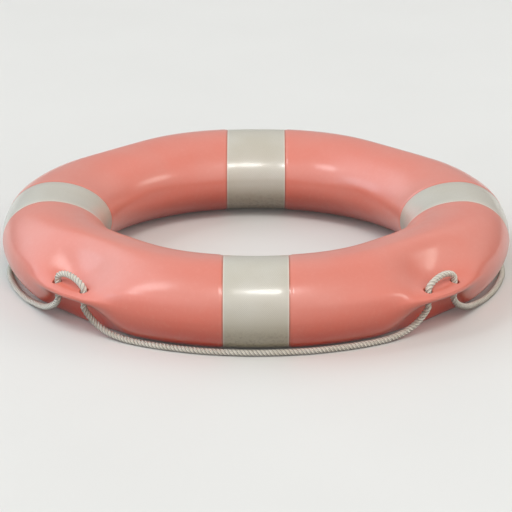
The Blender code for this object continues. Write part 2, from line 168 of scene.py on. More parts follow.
# Route of a bight between its joins: share of the way to a hole, and height over the plate
BIGHT_ROUTE = ((-1.0, 0.0011), (-0.92, 0.0078), (-0.60, 0.0126), (-0.20, 0.0142),
               (0.25, 0.0127), (0.65, 0.0088), (0.93, 0.0036), (1.0, -0.0013))

# Route of half a stretch, from a hole to the middle: degrees from the middle, radius, height
TIGHT_ROUTE = ((40.2, 0.3605, 0.0310), (38.9, 0.3550, 0.0195), (36.6, 0.3525, 0.0115),
               (33.5, 0.3520, 0.0070), (29.0, 0.3520, FLOOR_Z), (22.0, 0.3520, FLOOR_Z),
               (14.0, 0.3520, FLOOR_Z), (7.0, 0.3515, FLOOR_Z))
SLACK_ROUTE = ((39.4, 0.3645, 0.0330), (37.0, 0.3625, 0.0240), (33.0, 0.3585, 0.0140),
               (28.0, 0.3565, 0.0080), (22.5, 0.3585, FLOOR_Z), (16.5, 0.3612, FLOOR_Z),
               (11.0, 0.3630, FLOOR_Z), (5.5, 0.3650, FLOOR_Z))
STRETCHES = (("front", TIGHT_ROUTE),
             ("right", SLACK_ROUTE),
             ("back", SLACK_ROUTE),
             ("left", SLACK_ROUTE))
CORNERS = ("front_right", "back_right", "back_left", "front_left")

# Camera, at the photograph's distance and angle
CAMERA_DISTANCE = 3.989
CAMERA_ELEVATION = math.radians(18.98)
CAMERA_LENS = 188.95
CAMERA_SENSOR = 36
CAMERA_SHIFT = -0.0503
CAMERA_REACH = 100

# Room: its even light, and its glows as azimuth, elevation and half width in degrees, strength and colour
FLOOR_SIZE = 60
FLOOR_DROP = 0.0001
FLOOR_GLOW = 0.05
ROOM_LIGHT = (0.06, 0.06, 0.06)
ROOM_GLOWS = ((0, 28, 50, 0.80, (1.0, 0.98, 0.95)),
              (0, 55, 28, 0.65, (1.0, 0.99, 0.96)),
              (9, 58, 14, 2.2, (1.0, 0.98, 0.95)),
              (-76, 50, 10, 6.2, (0.96, 0.99, 1.0)),
              (88, 26, 9.5, 5.2, (0.96, 0.95, 0.86)),
              (-60, 28, 50, 0.70, (0.96, 0.98, 1.0)),
              (60, 28, 50, 0.95, (1.0, 0.94, 0.90)),
              (-97, 22, 50, 0.75, (0.76, 0.90, 1.0)),
              (-92, 18, 16, 2.6, (0.60, 0.88, 1.0)),
              (97, 22, 50, 0.12, (1.0, 0.88, 0.80)),
              (-122, 36, 32, 1.2, (0.78, 0.93, 1.0)),
              (132, 40, 30, 0.5, (1.0, 0.94, 0.90)),
              (180, 22, 60, 0.38, (1.0, 0.99, 0.97)))
# Lamps as name, azimuth, elevation, width and height in degrees, watts and colour
LAMP_DISTANCE = 12
LAMPS = (("front_lamp", 9, 57, 17, 12, 230, (1.0, 0.98, 0.95)),
         ("front_left_lamp", -7, 57, 12, 9, 30, (1.0, 0.98, 0.95)))


def only(item):
    """Selects one object alone and makes it the active one."""
    bpy.ops.object.select_all(action="DESELECT")
    item.select_set(True)
    bpy.context.view_layer.objects.active = item


def apply_modifier(item, kind, **settings):
    """Adds a modifier with its settings and applies it."""
    only(item)
    modifier = item.modifiers.new(kind.lower(), kind)
    for name, value in settings.items():
        setattr(modifier, name, value)
    bpy.ops.object.modifier_apply(modifier=modifier.name)


def finish_piece(item, name, material, smooth_angle=40):
    """Names a piece, smooths its faces up to an angle in degrees and gives it its material."""
    only(item)
    item.name = item.data.name = name
    bpy.ops.object.shade_smooth_by_angle(angle=math.radians(smooth_angle))
    item.data.materials.clear()
    item.data.materials.append(material)
    return item


def turned_copy(item, angle, name):
    """A copy with its own mesh, turned about the ring's axis."""
    copy = item.copy()
    copy.data = item.data.copy()
    copy.data.transform(Matrix.Rotation(angle, 4, "Z"))
    copy.name = copy.data.name = name
    bpy.context.scene.collection.objects.link(copy)
    return copy


def outward(item):
    """Turns all faces outwards."""
    only(item)
    bpy.ops.object.mode_set(mode="EDIT")
    bpy.ops.mesh.select_all(action="SELECT")
    bpy.ops.mesh.normals_make_consistent(inside=False)
    bpy.ops.object.mode_set(mode="OBJECT")
    return item


def torus_through(rings, radius, tube_radius, place=(0, 0, MIDDLE_Z)):
    """A torus whose turns are moved onto the given rings of points."""
    bpy.ops.object.select_all(action="DESELECT")
    bpy.ops.mesh.primitive_torus_add(major_segments=len(rings), minor_segments=len(rings[0]),
                                     major_radius=radius, minor_radius=tube_radius, location=place)
    bpy.ops.object.transform_apply()
    item = bpy.context.object
    for vertex, point in zip(item.data.vertices, (point for ring in rings for point in ring)):
        vertex.co = point
    return outward(item)


# Camera
def add_camera():
    centre = Vector((0, 0, MIDDLE_Z))
    away = Vector((0, -math.cos(CAMERA_ELEVATION), math.sin(CAMERA_ELEVATION)))
    camera = bpy.data.objects.new("camera", bpy.data.cameras.new("camera"))
    camera.data.lens = CAMERA_LENS
    camera.data.sensor_width = CAMERA_SENSOR
    camera.data.shift_y = CAMERA_SHIFT
    camera.data.clip_end = CAMERA_REACH
    camera.location = centre + away * CAMERA_DISTANCE
    camera.rotation_euler = (math.pi / 2 - CAMERA_ELEVATION, 0, 0)
    bpy.context.scene.collection.objects.link(camera)
    bpy.context.scene.camera = camera


# Materials
class Material:
    """A Principled material and short ways to add nodes to it."""

    def __init__(self, name, **values):
        self.data = bpy.data.materials.new(name)
        self.data.use_nodes = True
        self.nodes = self.data.node_tree.nodes
        self.shader = self.nodes["Principled BSDF"]
        for socket, value in values.items():
            self.shader.inputs[socket.replace("_", " ")].default_value = value
        self.place = self.add("ShaderNodeTexCoord").outputs["Object"]

    def add(self, kind, **inputs):
        node = self.nodes.new(kind)
        for socket, value in inputs.items():
            self.join(node.inputs[socket.replace("_", " ")], value)
        return node

    def join(self, socket, value):
        if isinstance(value, bpy.types.NodeSocket):
            self.data.node_tree.links.new(value, socket)
        else:
            socket.default_value = value

    def noise(self, scale, detail, roughness=0.5):
        node = self.add("ShaderNodeTexNoise", Scale=scale, Detail=detail, Roughness=roughness)
        self.join(node.inputs["Vector"], self.place)
        return node.outputs["Fac"]

    def ranged(self, value, low, high, to_low=0.0, to_high=1.0, smooth=False):
        node = self.add("ShaderNodeMapRange")
        if smooth:
            node.interpolation_type = "SMOOTHSTEP"
        for socket, setting in zip(node.inputs, (value, low, high, to_low, to_high)):
            self.join(socket, setting)
        return node.outputs["Result"]

    def math(self, operation, a, b=0.0):
        node = self.nodes.new("ShaderNodeMath")
        node.operation = operation
        self.join(node.inputs[0], a)
        self.join(node.inputs[1], b)
        return node.outputs[0]

    def mixed(self, factor, a, b):
        node = self.nodes.new("ShaderNodeMix")
        node.data_type = "RGBA"
        self.join(node.inputs["Factor"], factor)
        self.join(node.inputs["A"], a)
        self.join(node.inputs["B"], b)
        return node.outputs["Result"]

    def bumped(self, height, strength, distance, after=None):
        node = self.add("ShaderNodeBump", Strength=strength, Distance=distance)
        self.join(node.inputs["Height"], height)
        if after:
            self.join(node.inputs["Normal"], after)
        return node.outputs["Normal"]

    def set(self, socket, value):
        self.join(self.shader.inputs[socket], value)


def coral_plastic():
    """Coral, paler higher up from fading and painted sheen, redder below from its pigment and painted
    shade, with soft clouds, faint chalking, fine grain and painted shade along the bands.
    """
    m = Material("coral_plastic", Roughness=0.30, Coat_Weight=0.45, Coat_Roughness=0.12)
    lowest = (0.760, 0.050, 0.020, 1)
    deep = (0.780, 0.120, 0.062, 1)
    faded_with_sheen = (0.720, 0.245, 0.192, 1)
    chalky = (0.84, 0.40, 0.32, 1)
    corner_shade_colour = (0.46, 0.135, 0.085, 1)
    parts = m.add("ShaderNodeSeparateXYZ", Vector=m.place).outputs
    height = parts["Z"]
    clouds = m.ranged(m.noise(9, 4), 0.35, 0.65, 0, 0.22)
    # Paler higher up and redder low down: partly fading and pigment, partly painted sheen above and painted
    # shade below
    fading_and_sheen = m.math("ADD", m.ranged(height, 0.02, 0.095, 0, 0.80, True), clouds)
    colour = m.mixed(fading_and_sheen, m.mixed(m.ranged(height, 0.005, 0.05, 0, 1, True), lowest, deep), faded_with_sheen)
    chalk = m.ranged(m.noise(160, 5, 0.6), 0.50, 0.75, 0, 0.10)
    colour = m.mixed(chalk, colour, chalky)
    # A darker line in the recess corner beside each band, mottled by noise: painted shade
    from_middle = m.math("MINIMUM", m.math("ABSOLUTE", parts["X"]), m.math("ABSOLUTE", parts["Y"]))
    shade_line_middle = BAND_WIDTH / 2 + CORNER_SHADE_WIDTH / 3
    from_corner = m.math("ABSOLUTE", m.math("SUBTRACT", from_middle, shade_line_middle))
    shade_strength = m.ranged(m.noise(60, 4), 0.3, 0.7, 0.45, 0.8)
    corner_shade = m.math("MULTIPLY", m.ranged(from_corner, 0, CORNER_SHADE_WIDTH, 1, 0, True), shade_strength)
    m.set("Base Color", m.mixed(corner_shade, colour, corner_shade_colour))
    m.set("Roughness", m.ranged(m.noise(45, 4), 0.3, 0.7, 0.29, 0.35))
    waves = m.bumped(m.noise(14, 2), 0.12, 0.0008)
    m.set("Normal", m.bumped(m.noise(650, 2), 0.06, 0.0002, waves))
    return m.data


def band_film():
    """Pale film with cells in diamond rows, a lighter edge line that is partly its seal and partly painted
    highlight, a darker, yellower tone towards the bottom and grime low down. U is across it.
    """
    m = Material("band_film", Roughness=0.30, Coat_Weight=0.60, Coat_Roughness=0.11)
    uv = m.add("ShaderNodeUVMap").outputs["UV"]
    parts = m.add("ShaderNodeSeparateXYZ", Vector=uv)
    across, around = parts.outputs["X"], parts.outputs["Y"]
    clean = (0.615, 0.588, 0.520, 1)
    yellowed = (0.565, 0.525, 0.440, 1)
    cell_wall = (0.34, 0.31, 0.25, 1)
    lower_tint = (0.44, 0.37, 0.20, 1)
    grimy = (0.24, 0.18, 0.13, 1)
    sealed_and_lit_edge = (0.72, 0.68, 0.60, 1)
    colour = m.mixed(m.ranged(m.noise(12, 4), 0.35, 0.70), clean, yellowed)
    ridges = []
    for slant in ("ADD", "SUBTRACT"):
        row = m.math("FRACT", m.math("MULTIPLY", m.math(slant, across, around), 1 / CELL_PITCH))
        ridges.append(m.math("ABSOLUTE", m.math("SUBTRACT", row, 0.5)))
    cells = m.math("MAXIMUM", *ridges)
    colour = m.mixed(m.ranged(cells, 0.34, 0.5, 0, 0.42), colour, cell_wall)
    height = m.add("ShaderNodeSeparateXYZ", Vector=m.place).outputs["Z"]
    # Darker and yellower towards the bottom
    colour = m.mixed(m.ranged(height, 0.080, 0.012, 0, 0.55, True), colour, lower_tint)
    low = m.ranged(height, 0.055, 0.010, 0, 1, True)
    grime = m.math("MULTIPLY", low, m.ranged(m.noise(190, 5, 0.7), 0.47, 0.62, 0, 0.60))
    colour = m.mixed(grime, colour, grimy)
    # A lighter line along both edges: partly the sealed edge, partly painted highlight where the edge
    # catches light
    inside, outside = (BAND_WIDTH / 2 - width for width in EDGE_LINE_WIDTHS)
    edge = m.ranged(m.math("ABSOLUTE", across), inside, outside, 0, 0.6)
    m.set("Base Color", m.mixed(edge, colour, sealed_and_lit_edge))
    m.set("Roughness", m.ranged(m.noise(120, 3), 0.3, 0.7, 0.29, 0.35))
    waves = m.bumped(m.noise(14, 2), 0.08, 0.0008)
    m.set("Normal", m.bumped(cells, 0.16, 0.00010, waves))
    return m.data


def laid_line():
    """Strands with yarns, with painted shade in the grooves between strands and between yarns. U is the
    distance along the line, and V goes round it once.
    """
    m = Material("laid_line", Roughness=0.75, Sheen_Weight=0.25)
    uv = m.add("ShaderNodeUVMap").outputs["UV"]
    parts = m.add("ShaderNodeSeparateXYZ", Vector=uv)
    along, around = parts.outputs["X"], parts.outputs["Y"]
    clean = (0.800, 0.765, 0.690, 1)
    soiled = (0.720, 0.675, 0.580, 1)
    yarn_crease_shade = (0.50, 0.45, 0.37, 1)
    strand_groove_shade = (0.20, 0.17, 0.13, 1)
    strand = m.math("FRACT", m.math("MULTIPLY", around, STRANDS))
    # Painted shade in the grooves between strands
    groove_shade = m.ranged(m.math("ABSOLUTE", m.math("SUBTRACT", strand, 0.5)), 0.30, 0.50, 0, 1, True)
    yarn_turn = m.math("ADD", m.math("MULTIPLY", around, STRANDS * YARNS_PER_STRAND),
                       m.math("MULTIPLY", along, YARN_TURNS_PER_METRE))
    yarn = m.math("SINE", m.math("MULTIPLY", yarn_turn, 2 * math.pi))
    colour = m.mixed(m.ranged(m.noise(35, 4), 0.40, 0.70), clean, soiled)
    # Painted shade in the creases between yarns
    colour = m.mixed(m.ranged(yarn, -1, 1, 0, 0.24), colour, yarn_crease_shade)
    m.set("Base Color", m.mixed(m.math("MULTIPLY", groove_shade, 0.85), colour, strand_groove_shade))
    fuzz = m.bumped(m.noise(1500, 3), 0.35, 0.0003)
    m.set("Normal", m.bumped(yarn, 0.35, 0.00025, fuzz))
    return m.data


def shrink_tube():
    """Off-white tube, a little soiled."""
    m = Material("shrink_tube", Roughness=0.42, Coat_Weight=0.2, Coat_Roughness=0.2)
    clean = (0.66, 0.64, 0.58, 1)
    soiled = (0.58, 0.55, 0.47, 1)
    m.set("Base Color", m.mixed(m.ranged(m.noise(40, 3), 0.35, 0.7), clean, soiled))
    m.set("Roughness", m.ranged(m.noise(150, 3), 0.3, 0.7, 0.36, 0.48))
    m.set("Normal", m.bumped(m.noise(260, 3), 0.25, 0.0003))
    return m.data


def rigid_foam():
    """Yellow foam with fine cells, darker in their hollows as painted shade."""
    m = Material("rigid_foam", Roughness=0.9)
    shaded_hollows = (0.70, 0.58, 0.30, 1)
    walls = (0.86, 0.76, 0.48, 1)
    cells = m.add("ShaderNodeTexVoronoi", Scale=700.0, Vector=m.place).outputs["Distance"]
    # Darker in each cell's hollow: painted shade
    m.set("Base Color", m.mixed(m.ranged(cells, 0, 0.6), shaded_hollows, walls))
    m.set("Normal", m.bumped(cells, 0.6, 0.0008))
    return m.data


# Line
def fin_matrix(fin):
    """Places (along the fin on X, outward on Y) at a fin's middle."""
    azimuth = FIN_AZIMUTH * (2 * fin + 1)
    out = Vector((math.sin(azimuth), -math.cos(azimuth), 0))
    along = Vector((math.cos(azimuth), math.sin(azimuth), 0))
    return Matrix(((along.x, out.x, 0), (along.y, out.y, 0), (0, 0, 1)))


def smooth_route(points, spacing):
    """Points at equal steps on a smooth curve through the route's own points."""
    points = [2 * points[0] - points[1], *points, 2 * points[-1] - points[-2]]
    fine = []
    for p0, p1, p2, p3 in zip(points, points[1:], points[2:], points[3:]):
        for i in range(ROUTE_CURVE_STEPS):
            t = i / ROUTE_CURVE_STEPS
            fine.append(0.5 * (2 * p1 + (p2 - p0) * t + (2 * p0 - 5 * p1 + 4 * p2 - p3) * t * t
                               + (3 * p1 - 3 * p2 + p3 - p0) * t**3))
    fine.append(points[-2])
    lengths = [0.0]
    for a, b in zip(fine, fine[1:]):
        lengths.append(lengths[-1] + (b - a).length)
    count = round(lengths[-1] / spacing)
    route, k = [], 0
    for i in range(count + 1):
        wanted = lengths[-1] * i / count
        while k < len(lengths) - 2 and lengths[k + 1] < wanted:
            k += 1
        route.append(fine[k].lerp(fine[k + 1], (wanted - lengths[k]) / (lengths[k + 1] - lengths[k])))
    return route, lengths[-1]


def lobe_radius(angle):
    """Radius of the strands' outline at an angle, as a share of the line's radius."""
    within = (angle * STRANDS / (2 * math.pi) + 0.5) % 1 - 0.5
    off = within * 2 * math.pi / STRANDS
    seat = 1 - STRAND_RADIUS
    return seat * math.cos(off) + math.sqrt(STRAND_RADIUS**2 - (seat * math.sin(off))**2)


def frames_along(route):
    """A direction and two crosswise ones at each point, carried along the route without twisting."""
    across = Vector((0, 0, 1)).cross(route[1] - route[0])
    across = across.normalized() if across.length > 1e-6 else (route[-1] - route[0]).normalized()
    found = []
    for i, here in enumerate(route):
        along = (route[min(i + 1, len(route) - 1)] - route[max(i - 1, 0)]).normalized()
        across = (across - across.dot(along) * along).normalized()
        found.append((here, across, along.cross(across)))
    return found


def rope_piece(name, route, length, material):
    """A mesh rope: the strands' outline carried along the route and turned once each lay length."""
    mesh = bmesh.new()
    layer = mesh.loops.layers.uv.new("UVMap")
    rows = []
    step = length / (len(route) - 1)
    for i, (here, across, up) in enumerate(frames_along(route)):
        turn = 2 * math.pi * i * step / LAY_LENGTH
        row = []
        for j in range(ROPE_SIDES):
            angle = 2 * math.pi * j / ROPE_SIDES
            out = across * math.cos(angle + turn) + up * math.sin(angle + turn)
            row.append(mesh.verts.new(here + ROPE_RADIUS * lobe_radius(angle) * out))
        rows.append(row)
    for i, (row, following) in enumerate(zip(rows, rows[1:])):
        for j in range(ROPE_SIDES):
            k = (j + 1) % ROPE_SIDES
            face = mesh.faces.new((row[j], row[k], following[k], following[j]))
            corners = ((i, j), (i, j + 1), (i + 1, j + 1), (i + 1, j))
            for loop, (along, around) in zip(face.loops, corners):
                loop[layer].uv = (along * step, around / ROPE_SIDES)
    mesh.faces.new(list(reversed(rows[0])))
    mesh.faces.new(rows[-1])
    data = bpy.data.meshes.new(name)
    mesh.to_mesh(data)
    mesh.free()
    rope = bpy.data.objects.new(name, data)
    bpy.context.scene.collection.objects.link(rope)
    return finish_piece(outward(rope), name, material, ROPE_SMOOTH_ANGLE)


def add_bight(fin, corner, material):
    """The line's loop up through one hole of a fin and down through the other, mirrored from fin to fin."""
    reach = -ROPE_OFFSET if fin in (0, 2) else ROPE_OFFSET
    heights = [(-1, JOIN_Z), *((x, FIN_TOP_Z + z) for x, z in BIGHT_ROUTE), (1, JOIN_Z)]
    points = [fin_matrix(fin) @ Vector((x * reach, HOLE_RADIAL, z)) for x, z in heights]
    route, length = smooth_route(points, ROPE_RING_STEP)
    bight = rope_piece(f"bight_{corner}", route, length, material)
    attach(bight, "ring")
    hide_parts(f"rope_bight_{corner}")
    return length


def hole_exit(direction, side):
    """Where two pieces of the line meet in a fin's hole; side is -1 for the left one seen from outside."""
    x = HOLE_RADIAL * math.sin(FIN_AZIMUTH) - ROPE_OFFSET * math.cos(FIN_AZIMUTH)
    y = -HOLE_RADIAL * math.cos(FIN_AZIMUTH) - ROPE_OFFSET * math.sin(FIN_AZIMUTH)
    return Matrix.Rotation(direction, 3, "Z") @ Vector((side * x, y, JOIN_Z))


def stretch_route(direction, half_route, raised, spacing):
    """The way from hole to hole through a half route and its mirror image, raised where a sleeve lies."""
    left, right = hole_exit(direction, -1), hole_exit(direction, 1)
    half = []
    for degrees, radius, height in half_route:
        azimuth = math.radians(degrees)
        height = max(height, raised) if degrees < SLEEVE_RISE_SPAN else height
        half.append(Vector((-radius * math.sin(azimuth), -radius * math.cos(azimuth), height)))
    middle = Vector((0, -half_route[-1][1], half[-1].z))
    mirrored = [Vector((-p.x, p.y, p.z)) for p in reversed(half)]
    turn = Matrix.Rotation(direction, 3, "Z")
    below = [Vector((0, 0, PIVOT_Z - JOIN_Z)), Vector((0, 0, PIVOT_Z - ROPE_RADIUS - JOIN_Z))]
    points = [left, *(left + b for b in below), *(turn @ p for p in half + [middle] + mirrored),
              *(right + b for b in reversed(below)), right]
    return smooth_route(points, spacing)


def add_stretch(index, material, tube_material):
    """One free stretch of the line, from hole to hole, with its ends in the holes."""
    side, half_route = STRETCHES[index]
    direction = index * math.pi / 2
    raised = SLEEVE_Z if side == "back" else 0.0
    route, length = stretch_route(direction, half_route, raised, ROPE_RING_STEP)
    stretch = rope_piece(f"line_stretch_{side}", route, length, material)
    if side == "back":
        add_sleeve(route, tube_material)
    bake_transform(stretch)
    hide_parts(f"grab_line_{side}")
    return length


def add_sleeve(route, material):
    """A tube shrunk over the join of the line's ends, drawn in at both ends and rippled by the strands."""
    frames = frames_along(route)
    steps = round(SLEEVE_HALF_LENGTH / ROPE_RING_STEP)
    middle = len(route) // 2
    inner = ROPE_RADIUS + FLOOR_GAP
    rings = []
    span = frames[middle - steps:middle + steps + 1]
    for j in range(ROPE_SIDES):
        angle = 2 * math.pi * j / ROPE_SIDES
        ring = []
        for i, (here, across, up) in enumerate(span):
            from_end = min(i, len(span) - 1 - i) * ROPE_RING_STEP
            swell = min(1.0, (from_end + SLEEVE_BLUNT_END) / SLEEVE_DRAWN_IN) ** 0.5
            lay = 2 * math.pi * i * ROPE_RING_STEP * STRANDS / LAY_LENGTH
            ripple = SLEEVE_RIPPLE * (math.cos(STRANDS * angle - lay) - 1)
            radius = inner + SLEEVE_END_WALL + (SLEEVE_WALL - SLEEVE_END_WALL) * swell + ripple
            ring.append(here + radius * (across * math.cos(angle) + up * math.sin(angle)))
        for here, across, up in reversed(span):
            ring.append(here + inner * (across * math.cos(angle) + up * math.sin(angle)))
        rings.append(ring)
    sleeve = torus_through(rings, inner + SLEEVE_WALL / 2, SLEEVE_WALL / 2, route[middle])
    finish_piece(sleeve, "join_sleeve", material)
    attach(sleeve, "line_back")
    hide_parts("splice_sleeve")
    return sleeve


# Ring
def turns(start, end, steps):
    """Values at equal steps from a start up to an end, without the end itself."""
    return [start + (end - start) * i / steps for i in range(steps)]


def ellipse_point(half_width, half_height, turn):
    """A point of an ellipse, stretched below so that the land cuts it off at the full depth."""
    land_sine = math.sin(math.acos(LAND_WIDTH / 2 / half_width))
    stretch = 1 + (1 / land_sine - 1) * max(0.0, -math.sin(turn)) / land_sine
    return Vector((half_width * math.cos(turn), half_height * stretch * math.sin(turn)))


def plain_section(inset):
    """Two half ellipses that meet at the crest, with a flat land below, clockwise from the crest."""
    outer, inner = OUTER_HALF_WIDTH - inset, INNER_HALF_WIDTH - inset
    outer_land = -math.acos(LAND_WIDTH / 2 / outer)
    inner_land = math.acos(LAND_WIDTH / 2 / inner) - math.pi
    outer_turns = (turns(math.pi / 2, SHELF_START, DISH_STEPS) + turns(SHELF_START, SHELF_END, SHELF_STEPS)
                   + turns(SHELF_END, EDGE_END, EDGE_STEPS) + turns(EDGE_END, UNDER_END, UNDER_STEPS)
                   + turns(UNDER_END, outer_land, LOW_STEPS))
    points = [ellipse_point(outer, MIDDLE_Z - inset, turn) for turn in outer_turns]
    land_start = ellipse_point(outer, MIDDLE_Z - inset, outer_land)
    land_end = ellipse_point(inner, MIDDLE_Z - inset, inner_land)
    points += [land_start.lerp(land_end, i / LAND_STEPS) for i in range(LAND_STEPS)]
    inner_turns = turns(inner_land, -1.5 * math.pi, INNER_STEPS)
    points += [ellipse_point(inner, MIDDLE_Z - inset, turn) for turn in inner_turns]
    return points


def curve(p0, p1, p2, p3, steps):
    """Points of a curve from p0 to p3 with the handles p1 and p2, without the last one."""
    for i in range(steps):
        t = i / steps
        u = 1 - t
        yield u**3 * p0 + 3 * u * u * t * p1 + 3 * u * t * t * p2 + t**3 * p3


def fillet(points, corner, before, after):
    """Rounds the corner between points some steps before and after it."""
    start, middle, end = points[corner - before], points[corner], points[corner + after]
    for i in range(before + after + 1):
        t = i / (before + after)
        points[corner - before + i] = (1 - t)**2 * start + 2 * t * (1 - t) * middle + t * t * end


def fin_section():
    """The section through a fin's middle, with the plain section's steps."""
    crest = Vector((-DISH_CREST_SHIFT, MIDDLE_Z))
    root = Vector((DISH_ROOT, FIN_TOP))
    under_root = Vector((UNDERCUT_ROOT, FIN_TOP - FIN_PLATE))
    land_end = Vector((LAND_WIDTH / 2, -MIDDLE_Z))
    handle = Vector((-DISH_ROOT_HANDLE[0], DISH_ROOT_HANDLE[1]))
    under_radius = FIN_PLATE - LIP_DROP
    tip = Vector((FIN_EDGE, FIN_TOP - LIP_DROP))
    points = list(curve(crest, crest + Vector((DISH_CREST_HANDLE, 0)), root + handle, root, DISH_STEPS))
    top_end = tip + Vector((-LIP_ROLL, LIP_DROP))
    points += [root.lerp(top_end, i / SHELF_STEPS) for i in range(SHELF_STEPS)]
    for t in turns(math.pi / 2, -math.pi / 2, EDGE_STEPS):
        width, drop = (LIP_ROLL, LIP_DROP) if t > 0 else (under_radius, under_radius)
        points.append(tip + Vector((-width * (1 - math.cos(t)), drop * math.sin(t))))
    under_end = tip - Vector((under_radius, under_radius))
    points += [under_end.lerp(under_root, i / UNDER_STEPS) for i in range(UNDER_STEPS)]
    under_handle = Vector((UNDERCUT_ROOT_HANDLE, UNDERCUT_ROOT_HANDLE))
    land_handle = Vector((UNDERCUT_LAND_HANDLE, 0))
    points += curve(under_root, under_root - under_handle, land_end + land_handle, land_end, LOW_STEPS)
    fillet(points, DISH_STEPS, *ROOT_FILLET_STEPS)
    fillet(points, DISH_STEPS + SHELF_STEPS + EDGE_STEPS + UNDER_STEPS, *UNDER_FILLET_STEPS)
    for point in plain_section(0)[len(points):]:
        rise = max(0.0, point.y) / MIDDLE_Z
        points.append(point - Vector((DISH_CREST_SHIFT * rise, 0)))
    return points


FIN_SECTION = fin_section()


def bump(distance, half_span, power):
    """1 at a fin's middle, falling to 0 half a span away."""
    share = min(1.0, abs(distance) / half_span)
    return (0.5 + 0.5 * math.cos(math.pi * share))**power


def smooth_step(value, low, high):
    """A soft rise from 0 to 1 between two values."""
    share = min(1.0, max(0.0, (value - low) / (high - low)))
    return share * share * (3 - 2 * share)


def dish_share(distance, step):
    """The fin's share of the upper side: wide at the crest, a narrower pocket lower down, then the lip."""
    wide = bump(distance, DISH_HALF_SPAN, DISH_POWER)
    skirt = bump(distance, DISH_HALF_SPAN, SKIRT_POWER)
    pocket = 1 - smooth_step(abs(distance), POCKET_START, POCKET_END)
    narrow = skirt + (pocket - skirt) * POCKET_PART
    share = wide + (narrow - wide) * smooth_step(step / DISH_STEPS, 0, POCKET_FULL)
    lip = bump(distance, LIP_HALF_SPAN, LIP_POWER)
    return share + (lip - share) * smooth_step(step, LIP_FROM * DISH_STEPS, DISH_STEPS + SHELF_STEPS)


def section_at(azimuth, inset):
    """The section at an azimuth from a band's middle, part way from the plain one to the fin's."""
    from_fin = FIN_AZIMUTH - abs(azimuth)
    dish = bump(from_fin, DISH_HALF_SPAN, DISH_POWER)
    lip = bump(from_fin, LIP_HALF_SPAN, LIP_POWER)
    undercut = bump(from_fin, UNDERCUT_HALF_SPAN, UNDERCUT_POWER)
    upper = DISH_STEPS + SHELF_STEPS
    lower = upper + EDGE_STEPS
    bottom = lower + UNDER_STEPS + LOW_STEPS + LAND_STEPS
    points = []
    for i, (plain, fin) in enumerate(zip(plain_section(inset), FIN_SECTION)):
        if i <= upper:
            share = dish_share(from_fin, i)
        elif i < lower:
            share = lip + (undercut - lip) * smooth_step(i, upper, lower)
        elif i <= bottom:
            share = undercut
        else:
            share = undercut + (dish - undercut) * (i - bottom) / INNER_STEPS
        points.append(plain.lerp(fin, share))
    ease_creases(points, 1 - smooth_step(abs(from_fin), EASED_PART * LIP_HALF_SPAN, LIP_HALF_SPAN))
    return points


def ease_creases(points, amount):
    """Draws the points round the shelf towards their neighbours, where a fin runs out into the ring."""
    first, last = EASED_STEPS
    for _ in range(EASING_PASSES):
        before, here, after = points[first - 1:last - 1], points[first:last], points[first + 1:last + 1]
        points[first:last] = [p + ((a + b) / 2 - p) * amount / 2 for a, p, b in zip(before, here, after)]


def shoulder_end():
    """Azimuth, from a band's middle, at which its recess's shoulder ends."""
    return math.asin((BAND_WIDTH / 2 + BAND_CLEARANCE + SHOULDER_WIDTH) / CREST_RADIUS)


def ring_point(offset, azimuth, direction):
    """A section point in space. The sections are parallel near a band and radial near a fin."""
    radial = CREST_RADIUS + offset.x
    parallel = 1 - min(1.0, max(0.0, (abs(azimuth) - shoulder_end()) / (PARALLEL_END - shoulder_end())))
    level = math.asin(CREST_RADIUS * math.sin(azimuth) / radial)
    angle = direction + azimuth + (level - azimuth) * parallel
    return Vector((radial * math.sin(angle), -radial * math.cos(angle), MIDDLE_Z + offset.y))


def shell_stations():
    """Azimuths from one fin to the next round a band, each with the recess's depth there."""
    edge = math.asin((BAND_WIDTH / 2 + BAND_CLEARANCE) / CREST_RADIUS)
    half = [(azimuth, RECESS_DEPTH) for azimuth in turns(0, edge, BAND_STEPS)[1:] + [edge]]
    foot = edge + BAND_CLEARANCE / CREST_RADIUS
    for i in range(SHOULDER_STEPS + 1):
        share = i / SHOULDER_STEPS
        rise = share**3 * (10 - 15 * share + 6 * share**2)
        half.append((foot + (shoulder_end() - foot) * share, SHOULDER_DEPTH * (1 - rise)))
    half += [(azimuth, 0.0) for azimuth in turns(shoulder_end(), FIN_AZIMUTH, SIDE_STEPS)[1:]]
    return [(-FIN_AZIMUTH, 0.0)] + [(-a, d) for a, d in reversed(half)] + [(0.0, RECESS_DEPTH)] + half


def turned(name, profile, place, sides):
    """A round piece drawn up from a disc through a profile of radii and heights."""
    bpy.ops.object.select_all(action="DESELECT")
    (radius, height), *rest = profile
    bpy.ops.mesh.primitive_circle_add(vertices=sides, radius=radius, fill_type="NGON",
                                      location=(place.x, place.y, height))
    item = bpy.context.object
    bpy.ops.object.transform_apply()
    bpy.ops.object.mode_set(mode="EDIT")
    bpy.ops.mesh.select_all(action="SELECT")
    for next_radius, next_height in rest:
        bpy.ops.mesh.extrude_region_move(TRANSFORM_OT_translate={"value": (0, 0, next_height - height)})
        share = next_radius / radius
        bpy.ops.transform.resize(value=(share, share, 1), center_override=(place.x, place.y, next_height))
        radius, height = next_radius, next_height
    bpy.ops.object.mode_set(mode="OBJECT")
    item.name = name
    return outward(item)


def surface_height(shell, point, downwards):
    """How high the shell's upper or lower face stands at a point."""
    start = Vector((point.x, point.y, RING_THICKNESS if downwards else MIDDLE_Z - 2 * FIN_PLATE))
    _, spot, _, _ = shell.ray_cast(start, Vector((0, 0, -1 if downwards else 1)))
    return spot.z


